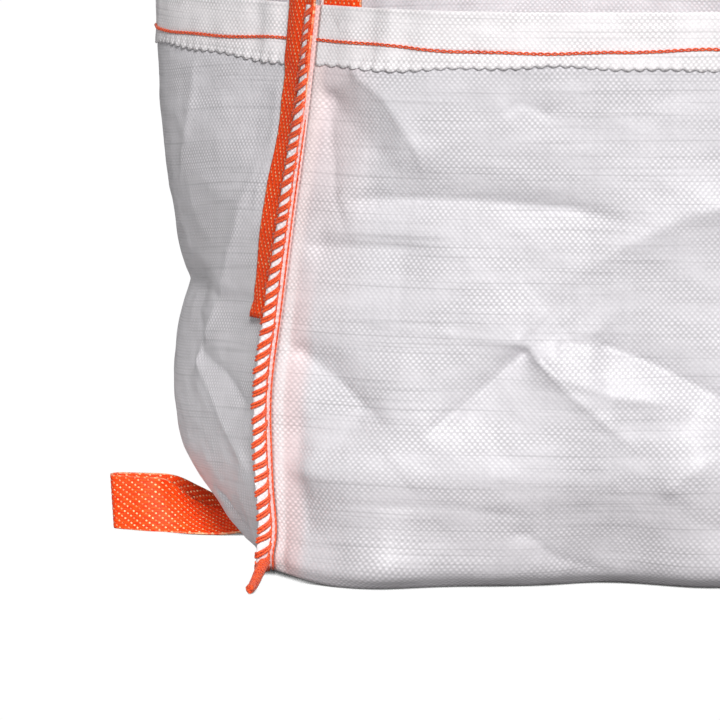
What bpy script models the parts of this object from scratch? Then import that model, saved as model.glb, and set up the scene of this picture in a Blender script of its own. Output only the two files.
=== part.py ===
"""Mini bulk bag: a small woven polypropylene sack with four lift loops and two tip straps.

The origin is at the middle of the base, on the floor. The front faces -Y and +Z is up. All
lengths are in metres. The bag is cut as one U-shaped length of cloth (front, base and back)
with two side panels sewn into it, and it stands open, filled out by its own stiff cloth.
"""
import math

import bmesh
import bpy
import numpy as np
from mathutils import Vector

# Cloth and seams
WALL = 0.0014          # cloth as modelled; the woven film is 0.35 mm
GAP = 0.0003           # left between faces that touch
FIN = 0.017            # width of the overlocked seam that stands out at the corners
HEM = 0.048            # depth of the hem, folded to the outside
HEM_STEP = WALL + 0.0005

# Webbing
WEB_WIDTH = 0.050
WEB_THICK = 0.0020
WEB_CUP = 0.0005
WEB_PARTS = 3          # facets across the webbing

# The standing bag: height, corner x, corner y, side bulge, front bulge
LEVELS = (
    (0.000, 0.298, 0.282, 0.010, 0.042),
    (0.013, 0.299, 0.287, 0.020, 0.047),
    (0.030, 0.298, 0.286, 0.054, 0.052),
    (0.100, 0.296, 0.282, 0.096, 0.062),
    (0.250, 0.287, 0.277, 0.103, 0.072),
    (0.400, 0.268, 0.265, 0.140, 0.094),
    (0.500, 0.257, 0.256, 0.153, 0.111),
)
HEIGHT = LEVELS[-1][0]
CORNER_LIFT = 0.015    # the four base corners curl up off the floor
FRONT_POWER = 3.0      # the front is flat in the middle and turns near its seams
BASE_POWER = 8.0       # at the floor it is squarer
SIDE_ROUND = 0.5       # the sides run straight from their seams and turn in the middle
FIN_TURN = math.radians(16)

# Lift loops
LEG_LENGTH = 0.275     # sewn down the panels on both sides of a corner seam
LEG_MARGIN = 0.0055    # from the root of the corner seam to the webbing
LOOP_RISE = 0.175      # top of the arch above the top edge
LOOP_SPREAD = 0.050    # the free loop is wider than its roots
LOOP_TWIST_END = 0.36
LOOP_STEPS = 24

# Tip straps
STRAP_REACH = 0.143    # beyond the base seam
STRAP_DRIFT = 0.020    # the loop points a little to the back
STRAP_TURN = 0.010     # half the width of the turn at the far end
STRAP_END = 0.0078     # gap between the sewn ends and the root of the seam
STRAP_STEPS = 10
TURN_STEPS = 6

# Where the cloth is divided: heights up the walls, places along the base seam and across the front
ROWS = (0.0, 0.004, 0.013, 0.030, 0.060, 0.105, 0.165, 0.225, 0.300, 0.370, 0.438, 0.452, 0.476, 0.500)
BASE_ROWS = (-1.0, -0.96, -0.88, -0.80, -0.6, -0.4, -0.2, 0.0, 0.2, 0.4, 0.6, 0.80, 0.88, 0.96, 1.0)
FRONT_COLUMNS = (-1.0, -0.96, -0.92, -0.86, -0.74, -0.54, -0.28, 0.0,
                 0.28, 0.54, 0.74, 0.86, 0.92, 0.96, 1.0)


def clear_scene():
    for obj in list(bpy.data.objects):
        bpy.data.objects.remove(obj, do_unlink=True)


def make_material(name, colour, roughness):
    material = bpy.data.materials.new(name)
    material.use_nodes = True
    shader = material.node_tree.nodes["Principled BSDF"]
    shader.inputs["Base Color"].default_value = (*colour, 1.0)
    shader.inputs["Roughness"].default_value = roughness
    shader.inputs["Metallic"].default_value = 0.0
    material.diffuse_color = (*colour, 1.0)
    return material


def at_height(z):
    """Corner x, corner y, side bulge and front bulge at a height, smooth between the levels."""
    heights = [level[0] for level in LEVELS]
    i = int(np.clip(np.searchsorted(heights, z, side="right") - 1, 0, len(LEVELS) - 2))
    low, high = LEVELS[i], LEVELS[i + 1]
    before = LEVELS[max(i - 1, 0)]
    after = LEVELS[min(i + 2, len(LEVELS) - 1)]
    span = high[0] - low[0]
    f = (z - low[0]) / span
    values = []
    for k in range(1, 5):
        m0 = (high[k] - before[k]) / (high[0] - before[0]) * span
        m1 = (after[k] - low[k]) / (after[0] - low[0]) * span
        values.append((2 * f**3 - 3 * f**2 + 1) * low[k] + (f**3 - 2 * f**2 + f) * m0
                      + (3 * f**2 - 2 * f**3) * high[k] + (f**3 - f**2) * m1)
    return values


def corner_lift(across, z=0.0):
    """The base corners stand a little off the floor, and the walls above follow them."""
    return CORNER_LIFT * max(0.0, 2 * abs(across) - 1) ** 3 * max(0.0, 1 - z / 0.12) ** 2


def front_round(t, z):
    """How far the front stands out at t, from 0 at its seams to 1 in the middle."""
    power = FRONT_POWER + (BASE_POWER - FRONT_POWER) * max(0.0, 1 - z / 0.06) ** 2
    return 1 - abs(t) ** power


def front(t, z):
    """A point of the front panel: t runs from -1 at the left seam to 1 at the right."""
    cx, cy, _, bulge = at_height(z)
    y = -(cy + bulge * front_round(t, z))
    return Vector((t * cx, y, z + WALL / 2 + corner_lift(t, z)))


def side(t, z):
    """A point of the left panel: t runs from -1 at the front seam to 1 at the back."""
    cx, cy, bulge, _ = at_height(z)
    k = SIDE_ROUND
    rounded = (math.hypot(1, k) - math.hypot(t, k)) / (math.hypot(1, k) - k)
    return Vector((-(cx + bulge * rounded), t * cy, z + WALL / 2 + corner_lift(t, z)))


def base(a, b):
    """A point of the base: a runs across the bag and b from front to back."""
    cx, cy, side_bulge, front_bulge = at_height(0.0)
    x = a * (cx + side_bulge * (1 - b * b) * a * a)
    y = b * (cy + front_bulge * front_round(a, 0.0) * b * b)
    return Vector((x, y, WALL / 2 + corner_lift(a * b)))


def outward(surface, t, z):
    """Unit normal of a wall, pointing out of the bag."""
    step = 0.01
    along = surface(min(t + step, 1), z) - surface(max(t - step, -1), z)
    up = surface(t, min(z + step, HEIGHT)) - surface(t, max(z - step, 0))
    normal = along.cross(up).normalized()
    return normal if normal.dot(surface(t, z) * Vector((1, 1, 0))) > 0 else -normal


def seam_root(kind, value):
    """A point of the left-hand seam and the way its fin stands out there."""
    if kind == "base":
        root = base(-1, value)
        lean = math.copysign(math.tan(FIN_TURN) * abs(value) ** 4, value)
        height = 0.0
    else:
        sign = -1 if kind == "front" else 1
        root = side(sign, value)
        lean = sign * math.tan(FIN_TURN)
        height = value
    root.z += (WALL + GAP) / 2 * max(0.0, 1 - height / 0.1)
    return root, Vector((-1, lean, 0)).normalized()


def seam_samples():
    """The left-hand seam from the front top edge, round under the side panel, to the back."""
    samples = [("front", z) for z in reversed(ROWS)]
    samples += [("base", b) for b in BASE_ROWS[1:-1]]
    return samples + [("back", z) for z in ROWS]


def seam_point(kind, value, width, outer):
    """A point of one ply of the left-hand fin, on the U-shaped cloth or on the side panel."""
    samples = seam_samples()
    if kind == "base" and abs(value) == 1:
        kind, value = ("front" if value < 0 else "back"), 0.0
    i = samples.index((kind, value))
    root, out = seam_root(kind, value)
    normals = []
    for first, second in ((i - 1, i), (i, i + 1)):
        if first >= 0 and second < len(samples):
            step = seam_root(*samples[second])[0] - seam_root(*samples[first])[0]
            normals.append(out.cross(step).normalized())
    ply = (normals[0] + normals[-1]).normalized()
    ply /= ply.dot(normals[0])
    apart = (WALL + GAP) / 2 * (1 if outer else -1)
    return root + out * width + ply * apart


def hem_rows(surface, t):
    """The hem: over the top edge and down the outside."""
    top = surface(t, HEIGHT)
    away = outward(surface, t, HEIGHT)
    rows = [top + away * HEM_STEP / 2 + Vector((0, 0, 0.0009))]
    for drop in (0.0, HEM / 2, HEM):
        rows.append(surface(t, HEIGHT - drop) + outward(surface, t, HEIGHT - drop) * HEM_STEP)
    return rows


def mirrored(point, x=1, y=1):
    return Vector((point.x * x, point.y * y, point.z))


def sheet(name, points, keep, material):
    """A cloth panel from a grid of points, given its thickness by Solidify."""
    rows, columns = len(points), len(points[0])
    bm = bmesh.new()
    bmesh.ops.create_grid(bm, x_segments=columns - 1, y_segments=rows - 1, size=1)
    where = {}
    for vert in bm.verts:
        column = round((vert.co.x + 1) / 2 * (columns - 1))
        row = round((vert.co.y + 1) / 2 * (rows - 1))
        where[vert] = (row, column)
    unused = [face for face in bm.faces if not all(keep(*where[vert]) for vert in face.verts)]
    bmesh.ops.delete(bm, geom=unused, context="FACES")
    for vert in bm.verts:
        row, column = where[vert]
        vert.co = points[row][column]
    bmesh.ops.remove_doubles(bm, verts=bm.verts, dist=0.00001)
    mesh = bpy.data.meshes.new(name)
    bm.to_mesh(mesh)
    bm.free()
    mesh.shade_smooth()
    mesh.materials.append(material)
    obj = bpy.data.objects.new(name, mesh)
    bpy.context.collection.objects.link(obj)
    solidify = obj.modifiers.new("cloth_thickness", "SOLIDIFY")
    solidify.thickness = WALL
    solidify.offset = 0
    return obj


def wall_row(surface, kind, z):
    """One row of the U-shaped cloth where it stands as the front or the back."""
    y = 1 if kind == "front" else -1
    left = [seam_point(kind, z, FIN, True), seam_point(kind, z, 0, True)]
    middle = [mirrored(surface(t, z), 1, y) for t in FRONT_COLUMNS[1:-1]]
    return left + middle + [mirrored(point, -1) for point in reversed(left)]


def make_u_panel(material):
    """Front, base and back in one length, with its seam margins down both edges."""
    rows = []
    blank = Vector((0, 0, 0))
    hems = [[blank, blank] + [hem_rows(front, t)[k] for t in FRONT_COLUMNS[1:-1]] + [blank, blank]
            for k in range(4)]
    rows += reversed(hems)
    rows += [wall_row(front, "front", z) for z in reversed(ROWS)]
    for b in BASE_ROWS[1:-1]:
        left = [seam_point("base", b, FIN, True), seam_point("base", b, 0, True)]
        middle = [base(a, b) for a in FRONT_COLUMNS[1:-1]]
        rows.append(left + middle + [mirrored(point, -1) for point in reversed(left)])
    rows += [wall_row(front, "back", z) for z in ROWS]
    rows += [[mirrored(point, 1, -1) for point in row] for row in hems]
    last_row, last_column = len(rows) - 1, len(rows[0]) - 1

    def keep(row, column):
        in_hem = row < 4 or row > last_row - 4
        return not (in_hem and (column < 2 or column > last_column - 2))

    return sheet("u_panel", rows, keep, material)


def make_side_panel(name, x, material):
    """A side panel: sewn to the U-shaped cloth on three edges and hemmed at the top."""
    blank = Vector((0, 0, 0))
    rows = [[blank] + [seam_point("base", b, FIN, False) for b in BASE_ROWS] + [blank]]
    rows[0][1] = seam_point("front", 0.0, FIN, False)
    rows[0][-2] = seam_point("back", 0.0, FIN, False)
    for z in ROWS:
        middle = [side(t, z) for t in BASE_ROWS[1:-1]]
        if z == 0.0:
            middle = [seam_point("base", b, 0, False) for b in BASE_ROWS[1:-1]]
        ends = [[seam_point(kind, z, width, False) for width in (FIN, 0)] for kind in ("front", "back")]
        rows.append(ends[0] + middle + list(reversed(ends[1])))
    for k in range(4):
        rows.append([blank, blank] + [hem_rows(side, t)[k] for t in BASE_ROWS[1:-1]] + [blank, blank])
    last_column = len(rows[0]) - 1
    first_hem = len(rows) - 4

    def keep(row, column):
        corner = row == 0 and column in (0, last_column)
        in_hem = row >= first_hem and (column < 2 or column > last_column - 2)
        return not (corner or in_hem)

    points = [[mirrored(point, x) for point in row] for row in rows]
    return sheet(name, points, keep, material)


def ribbon(name, stations, material):
    """Webbing swept through stations, each a row of points across it with their face normals."""
    bm = bmesh.new()
    loops = []
    for points, faces in stations:
        outer = [bm.verts.new(p + n * WEB_THICK / 2) for p, n in zip(points, faces)]
        inner = [bm.verts.new(p - n * WEB_THICK / 2) for p, n in zip(points, faces)]
        loops.append(outer + inner[::-1])
    count = len(loops[0])
    for end in (loops[0], loops[-1]):
        for k in range(WEB_PARTS):
            bm.faces.new((end[k], end[k + 1], end[count - 2 - k], end[count - 1 - k]))
    for first, second in zip(loops, loops[1:]):
        for k in range(count):
            bm.faces.new((first[k], first[(k + 1) % count], second[(k + 1) % count], second[k]))
    bmesh.ops.recalc_face_normals(bm, faces=bm.faces)
    if bm.calc_volume(signed=True) < 0:
        bmesh.ops.reverse_faces(bm, faces=bm.faces)
    mesh = bpy.data.meshes.new(name)
    bm.to_mesh(mesh)
    bm.free()
    mesh.materials.append(material)
    obj = bpy.data.objects.new(name, mesh)
    bpy.context.collection.objects.link(obj)
    return obj


def free_station(centre, across, face):
    """Webbing in the open, a little cupped across its width."""
    points = []
    for k in range(WEB_PARTS + 1):
        from_middle = k / WEB_PARTS - 0.5
        cup = face * (WEB_CUP * (1 - (2 * from_middle) ** 2))
        points.append(centre + across * (WEB_WIDTH * from_middle) + cup)
    return points, [face] * (WEB_PARTS + 1)


def panel_line(surface, columns, z):
    """The panel's own facets at a height, from the left front seam."""
    above = next(k for k in range(1, len(ROWS)) if ROWS[k] >= z - 1e-9)
    low, high = ROWS[above - 1], ROWS[above]
    f = (z - low) / (high - low)
    return [surface(t, low).lerp(surface(t, high), f) for t in columns]


def leg_station(surface, columns, drop, offset):
    """Webbing lying on a panel's facets, its near edge LEG_MARGIN away from the seam."""
    z = min(HEIGHT - drop, HEIGHT)
    line = panel_line(surface, columns, z)
    rise = Vector((0, 0, max(0.0, -drop)))
    points, faces = [], []
    for k in range(WEB_PARTS + 1):
        distance = LEG_MARGIN + WEB_WIDTH * k / WEB_PARTS
        i = 0
        while distance > (line[i + 1] - line[i]).length:
            distance -= (line[i + 1] - line[i]).length
            i += 1
        step = (line[i + 1] - line[i]).normalized()
        up = surface(columns[i], min(z + 0.01, HEIGHT)) - surface(columns[i], z - 0.01)
        face = step.cross(up).normalized()
        if face.dot(line[i] * Vector((1, 1, 0))) < 0:
            face = -face
        points.append(line[i] + step * distance + rise + face * offset)
        faces.append(face)
    return points, faces


def signed_turn(start, end, axis):
    return math.atan2(start.cross(end).dot(axis), start.dot(end))


def arch_stations(first, last):
    """The free loop: both legs turn on edge above the bag and meet over the corner."""
    ends = []
    for points, _ in (first, last):
        ends.append(((points[0] + points[-1]) / 2, (points[-1] - points[0]).normalized()))
    start, end = ends
    chord = (end[0] - start[0]).normalized()
    inward = Vector((0, 0, 1)).cross(chord)
    if inward.dot(start[0] * Vector((1, 1, 0))) > 0:
        inward = -inward
    pull = Vector((0, 0, LOOP_RISE * 4 / 3))
    p = [start[0], start[0] + pull - chord * LOOP_SPREAD, end[0] + pull + chord * LOOP_SPREAD, end[0]]
    turns = [signed_turn(inward, start[1], (p[1] - p[0]).normalized()),
             signed_turn(inward, end[1], (p[3] - p[2]).normalized())]
    stations = []
    for k in range(1, LOOP_STEPS):
        f = k / LOOP_STEPS
        g = 1 - f
        centre = p[0] * g**3 + p[1] * (3 * f * g * g) + p[2] * (3 * f * f * g) + p[3] * f**3
        tangent = ((p[1] - p[0]) * g * g + (p[2] - p[1]) * (2 * f * g) + (p[3] - p[2]) * f * f).normalized()
        nearest = min(f, g) / LOOP_TWIST_END
        left = 1 - nearest * nearest * (3 - 2 * nearest) if nearest < 1 else 0.0
        turn = turns[0 if f < 0.5 else 1] * left
        across = inward * math.cos(turn) + tangent.cross(inward) * math.sin(turn)
        stations.append(free_station(centre, across, tangent.cross(across).normalized()))
    return stations


def loop_stations(x, y):
    """Outer leg up the side panel, over the corner, and down inside the front or back panel."""
    skin = WALL / 2 + 3 * GAP + WEB_THICK / 2
    outer = []
    for drop, step in ((LEG_LENGTH, 0), (0.200, 0), (0.130, 0), (0.062, 0),
                       (HEM + 0.001, 1), (0.024, 1), (0.0, 1), (-0.006, 1)):
        outer.append(leg_station(side, BASE_ROWS, drop, skin + HEM_STEP * step))
    inner = []
    for drop in (-0.006, 0.0, 0.024, HEM, 0.130, 0.200, LEG_LENGTH):
        inner.append(leg_station(front, FRONT_COLUMNS, drop, -skin))
    stations = outer + arch_stations(outer[-1], inner[0]) + inner
    return [([mirrored(p, x, y) for p in points], [mirrored(n, x, y) for n in faces])
            for points, faces in stations]


def strap_stations(x):
    """A loop of webbing: flat on the base seam, turned up on its edge where it doubles back."""
    _, _, bulge, _ = at_height(0.0)
    root = at_height(0.0)[0] + bulge
    first = root + STRAP_END
    last = root + STRAP_REACH - STRAP_TURN
    half = (WEB_THICK + GAP) / 2
    flat = 2 * WALL + 3 * GAP + half + WEB_THICK / 2
    upper, lower = [], []
    for k in range(STRAP_STEPS + 1):
        f = k / STRAP_STEPS
        turned = f * f * (3 - 2 * f)
        angle = math.pi / 2 * turned
        across = Vector((0, math.cos(angle), math.sin(angle)))
        face = Vector((0, -math.sin(angle), math.cos(angle)))
        spread = (STRAP_TURN - half) * turned
        apart = half + spread
        height = WEB_WIDTH / 2 * math.sin(angle) + (flat + spread) * math.cos(angle) + GAP
        centre = Vector((-(first + (last - first) * f), STRAP_DRIFT * f, height))
        upper.append(free_station(centre + face * apart, across, face))
        lower.append(free_station(centre - face * apart, across, -face))
    middle = Vector((-last, STRAP_DRIFT, WEB_WIDTH / 2 + GAP))
    turn = []
    for k in range(1, TURN_STEPS):
        angle = math.pi * k / TURN_STEPS
        face = Vector((-math.sin(angle), -math.cos(angle), 0))
        turn.append(free_station(middle + face * STRAP_TURN, Vector((0, 0, 1)), face))
    stations = upper + turn + lower[::-1]
    return [([mirrored(p, x) for p in points], [mirrored(n, x) for n in faces])
            for points, faces in stations]


def build():
    clear_scene()
    cloth = make_material("woven_cloth", (0.78, 0.77, 0.77), 0.5)
    webbing = make_material("orange_webbing", (0.78, 0.09, 0.015), 0.55)
    make_u_panel(cloth)
    make_side_panel("side_panel_left", 1, cloth)
    make_side_panel("side_panel_right", -1, cloth)
    for y_name, y in (("front", 1), ("back", -1)):
        for x_name, x in (("left", 1), ("right", -1)):
            ribbon(f"lift_loop_{y_name}_{x_name}", loop_stations(x, y), webbing)
    ribbon("tip_strap_left", strap_stations(1), webbing)
    ribbon("tip_strap_right", strap_stations(-1), webbing)


build()
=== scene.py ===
"""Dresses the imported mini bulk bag: woven polypropylene cloth, orange webbing and orange thread.

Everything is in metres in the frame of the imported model: the origin is on the floor under the
middle of the bag, the front faces -Y and +Z is up. "Across" runs along a wall from its middle
and "up" from the floor, both in millimetres of cloth where folds are listed.
"""
import math
from collections import namedtuple

import bmesh
import bpy
import numpy as np
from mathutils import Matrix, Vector, noise


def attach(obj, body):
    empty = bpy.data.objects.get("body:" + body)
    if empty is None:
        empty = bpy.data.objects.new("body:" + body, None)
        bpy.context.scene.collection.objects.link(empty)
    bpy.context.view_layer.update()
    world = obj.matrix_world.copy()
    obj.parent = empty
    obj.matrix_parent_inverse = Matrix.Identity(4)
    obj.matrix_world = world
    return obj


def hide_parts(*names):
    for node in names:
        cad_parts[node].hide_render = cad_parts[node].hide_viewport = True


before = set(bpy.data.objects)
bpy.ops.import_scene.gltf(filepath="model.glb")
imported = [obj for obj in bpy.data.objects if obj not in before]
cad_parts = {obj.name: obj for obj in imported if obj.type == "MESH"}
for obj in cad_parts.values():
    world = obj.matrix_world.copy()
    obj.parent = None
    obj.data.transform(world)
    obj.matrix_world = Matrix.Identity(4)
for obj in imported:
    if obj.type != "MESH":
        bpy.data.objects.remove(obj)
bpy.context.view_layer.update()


# Studio
# A white floor that runs into a white background. A broad soft light comes from above the front,
# a weaker one from behind, and a narrow one on to the left tip strap. The lens is a long one.

def linear(code):
    """An sRGB hex colour as linear red, green, blue and 1."""
    parts = [int(code[k:k + 2], 16) / 255 for k in (0, 2, 4)]
    return [c / 12.92 if c <= 0.04045 else ((c + 0.055) / 1.055) ** 2.4 for c in parts] + [1.0]


def add_node(tree, kind, links=(), **settings):
    """A new shader node with its settings. Its inputs are given as values, as sockets, or as
    nodes, which stand for their first outputs."""
    node = tree.nodes.new("ShaderNode" + kind)
    for key, value in settings.items():
        setattr(node, key, value)
    for socket, source in dict(links).items():
        if isinstance(source, bpy.types.Node):
            source = source.outputs[0]
        if isinstance(source, bpy.types.NodeSocket):
            tree.links.new(source, node.inputs[socket])
        else:
            node.inputs[socket].default_value = source
    return node


def new_material(name, **sockets):
    """A Principled material, with plain values on its own sockets."""
    material = bpy.data.materials.new(name)
    material.use_nodes = True
    shader = material.node_tree.nodes["Principled BSDF"]
    for socket, value in sockets.items():
        shader.inputs[socket.replace("_", " ")].default_value = value
    return material, material.node_tree, shader


def new_object(name, data):
    """A new object in the scene."""
    obj = bpy.data.objects.new(name, data)
    bpy.context.collection.objects.link(obj)
    return obj


LENS_PITCH = math.radians(6.85)     # downwards
camera = new_object("camera", bpy.data.cameras.new("camera"))
camera.data.sensor_width = 36.0
camera.data.lens = 292.0
camera.data.clip_end = 50.0
camera.location = (-0.2226, -5.33, 0.80)
camera.rotation_euler = (math.pi / 2 - LENS_PITCH, 0, 0)
bpy.context.scene.camera = camera
bpy.context.scene.view_settings.view_transform = "Standard"


def new_lamp(name, kind, way, **settings):
    """A lamp with its settings, which shines along a direction."""
    light = bpy.data.lights.new(name, kind)
    for key, value in settings.items():
        setattr(light, key, value)
    lamp = new_object(name, light)
    lamp.rotation_euler = Vector(way).to_track_quat("-Z", "Y").to_euler()
    return lamp


SNOOT_PLACE = Vector((-1.05, -1.35, 0.28))
LEFT_STRAP_ROOT = Vector((-0.335, 0, 0.005))
new_lamp("key", "SUN", (-0.05, 0.86, -0.50), energy=3.25, angle=math.radians(16))
new_lamp("back", "SUN", (-0.4, -0.75, -0.5), energy=1.43, angle=math.radians(30))
snoot = new_lamp("snoot", "SPOT", LEFT_STRAP_ROOT - SNOOT_PLACE, energy=55,
                 spot_size=math.radians(13), spot_blend=1.0, shadow_soft_size=0.15)
snoot.location = SNOOT_PLACE

world = bpy.data.worlds.new("white_studio")
bpy.context.scene.world = world
world.use_nodes = True
sky = world.node_tree
sky.nodes["Background"].inputs["Color"].default_value = (1, 1, 1, 1)
sky.nodes["Background"].inputs["Strength"].default_value = 0.198
bright = add_node(sky, "Background", {"Color": (1, 1, 1, 1), "Strength": 1.0})
seen = add_node(sky, "MixShader", {0: add_node(sky, "LightPath").outputs["Is Camera Ray"],
                                   1: sky.nodes["Background"], 2: bright})
sky.links.new(seen.outputs[0], sky.nodes["World Output"].inputs["Surface"])

floor_mesh = bpy.data.meshes.new("floor")
bm = bmesh.new()
bmesh.ops.create_grid(bm, x_segments=1, y_segments=1, size=30)
bm.to_mesh(floor_mesh)
bm.free()
floor = new_object("floor", floor_mesh)

# White paper, matt. The camera sees it burnt out to white, except within 7 mm of the bag, where it darkens
# with occlusion, a painted contact shadow.
floor_material, tree, shader = new_material("white_paper_sweep", Base_Color=linear("ACACAC"), Roughness=0.9)
nearness = add_node(tree, "AmbientOcclusion", {"Distance": 0.007}, samples=8)
# Emission falls with occlusion near the bag: a painted contact shadow.
painted_contact_shadow = add_node(tree, "MapRange", {"Value": nearness.outputs["AO"], "From Min": 0.12,
                                    "From Max": 0.36, "To Min": 0.05, "To Max": 1.02})
lit = add_node(tree, "Emission", {"Color": (1, 1, 1, 1), "Strength": painted_contact_shadow})
paper_seen = add_node(tree, "MixShader", {0: add_node(tree, "LightPath").outputs["Is Camera Ray"],
                                          1: shader, 2: lit})
tree.links.new(paper_seen.outputs[0], tree.nodes["Material Output"].inputs["Surface"])
floor_mesh.materials.append(floor_material)


# Front, base and back
# One length of flat-woven polypropylene tape cloth, cut 634 mm wide, laid in a U. It stands by
# its own stiffness, bulges between its seams and keeps the creases of having been folded.

CLOTH = 0.0006          # two tapes thick
CLOTH_WIDTH = 0.600     # between the seams
HALF_MM = 500 * CLOTH_WIDTH
TAPE_ACROSS = 0.00244   # spacing of the upright tapes
TAPE_UP = 0.00270       # spacing of the level tapes
SKIN = 0.0007           # height of the cloth's middle over the floor
HEIGHT = 0.500
CORNER_LIFT = 0.0095
LEVELS = np.array((     # height, corner x, corner y, bulge of the sides, bulge of front and back
    (0.000, 0.298, 0.282, 0.026, 0.035),
    (0.013, 0.299, 0.287, 0.036, 0.047),
    (0.030, 0.298, 0.286, 0.052, 0.052),
    (0.100, 0.296, 0.282, 0.095, 0.062),
    (0.250, 0.287, 0.277, 0.102, 0.072),
    (0.400, 0.268, 0.265, 0.137, 0.094),
    (0.500, 0.257, 0.256, 0.149, 0.111),
))
SIDE_ROUND = 0.5        # how much of a side panel's width its round middle takes
TUCKED_UNDER = 0.003    # the sides' base seams lie a little inside the line between the corners

# Bumps: height, middle and width of each
SWAY = ((0.0030, 0.038, 0.030), (-0.0058, 0.160, 0.062))
EDGE_WAVES = ((0.019, -0.72, 0.17), (-0.022, -0.03, 0.16), (0.010, 0.27, 0.13), (-0.008, 0.6, 0.16))
EDGE_WAVES_REACH = 0.095

# Folds: depth in mm (outwards is positive), width of the flank on the left and on the right of
# the way it runs, crispness, how much of it tapers at its start and at its end, and its course.
FRONT_FOLDS = (
    (7.2, 55, 18, 0.95, 0.15, 0.25, ((-268, 452), (-227, 424), (-206, 399), (-190, 379), (-184, 352))),
    (-7.6, 30, 60, 1.7, 0.12, 0.35, ((-295, 430), (-264, 403), (-228, 374), (-204, 356))),
    (-11.0, 19, 42, 1.05, 0.12, 0.25, ((-265, 334), (-205, 338), (-140, 338), (-47, 331), (38, 315))),
    (-7.6, 13, 30, 1.2, 0.15, 0.4, ((-294, 293), (-246, 294), (-150, 293))),
    (-4.4, 11, 13, 0.9, 0.15, 0.2, ((-292, 438), (-281, 393), (-266, 334), (-251, 302))),
    (-2.6, 7, 7, 0.9, 0.2, 0.3, ((-116, 413), (-97, 422), (-70, 413), (-51, 423))),
    (-4.2, 16, 26, 1.15, 0.3, 0.3, ((-248, 228), (-168, 221), (-100, 216))),
    (5.2, 13, 28, 0.9, 0.25, 0.06, ((-238, 230), (-177, 224), (-124, 219), (-80, 213))),
    (-9.0, 34, 28, 0.9, 0.06, 0.3, ((-78, 211), (-122, 172), (-172, 130))),
    (5.0, 15, 26, 0.9, 0.06, 0.35, ((-78, 209), (-43, 173), (-12, 148), (25, 118))),
    (6.8, 26, 16, 0.9, 0.06, 0.35, ((-77, 209), (-59, 190), (-34, 180), (1, 169), (80, 157))),
    (-11.0, 21, 18, 1.0, 0.15, 0.15, ((-28, 217), (19, 201), (63, 180), (100, 160))),
    (-2.8, 6, 8, 0.9, 0.1, 0.2, ((-58, 212), (-24, 217), (-3, 230))),
    (9.6, 24, 36, 1.15, 0.1, 0.5, ((120, 338), (57, 325), (11, 304), (-35, 278), (-75, 252))),
    (-9.0, 20, 36, 1.35, 0.12, 0.35, ((-296, 208), (-280, 201), (-249, 180), (-226, 154), (-191, 136))),
    (3.1, 6, 9, 0.95, 0.2, 0.1, ((-296, 214), (-293, 114), (-288, 30), (-285, 2))),
    (-3.1, 12, 16, 1.15, 0.2, 0.2, ((-281, 158), (-276, 98), (-270, 34))),
    (10.0, 80, 60, 1.4, 0.05, 0.05, ((-292, 97), (-146, 101), (-16, 98), (90, 104), (292, 96))),
    (-2.0, 5, 6, 0.9, 0.3, 0.3, ((-260, 72), (-146, 73), (-50, 60))),
    (-3.8, 8, 11, 0.9, 0.1, 0.3, ((-98, 49), (-76, 47), (-57, 28), (-28, 18), (7, 11))),
    (5.2, 34, 15, 0.95, 0.3, 0.3, ((36, 80), (58, 100), (88, 118))),
    (-5.6, 26, 18, 1.15, 0.3, 0.3, ((86, 392), (130, 368), (190, 330), (262, 318))),
    (-4.5, 16, 22, 1.05, 0.2, 0.3, ((150, 232), (196, 208), (230, 160), (285, 140))),
    (4.9, 22, 18, 1.05, 0.2, 0.3, ((150, 236), (120, 180), (128, 120))),
    (-3.9, 12, 12, 0.95, 0.2, 0.3, ((236, 420), (262, 372), (274, 300))),
    (-2.4, 8, 10, 0.9, 0.3, 0.3, ((60, 60), (130, 48), (210, 56))),
    (-2.2, 3, 7, 0.9, 0.06, 0.3, ((-79, 211), (-122, 172), (-172, 130))),
    (1.8, 4, 6, 0.9, 0.06, 0.3, ((-78, 209), (-43, 173), (-12, 148), (25, 118))),
    (-1.6, 4, 6, 0.9, 0.2, 0.3, ((-282, 199), (-247, 176), (-200, 140))),
)
BACK_FOLDS = (
    (-8.8, 30, 24, 1.05, 0.2, 0.3, ((-270, 430), (-190, 390), (-120, 372))),
    (-6.0, 24, 40, 1.25, 0.3, 0.3, ((-180, 300), (-60, 318), (90, 306), (220, 330))),
    (7.0, 28, 20, 0.9, 0.05, 0.4, ((30, 240), (80, 200), (170, 176))),
    (-7.7, 20, 30, 0.9, 0.05, 0.4, ((30, 240), (-20, 190), (-100, 150))),
    (-5.2, 18, 24, 1.05, 0.1, 0.3, ((30, 242), (40, 300), (20, 380))),
    (-7.4, 22, 26, 1.15, 0.2, 0.3, ((288, 230), (240, 200), (200, 150))),
    (-3.5, 10, 12, 0.95, 0.2, 0.2, ((-282, 330), (-268, 260), (-250, 200))),
    (4.5, 44, 34, 1.65, 0.1, 0.1, ((-280, 104), (-100, 92), (80, 100), (280, 90))),
    (-2.8, 8, 8, 0.9, 0.2, 0.2, ((-180, 60), (-90, 44), (20, 50))),
)
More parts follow.
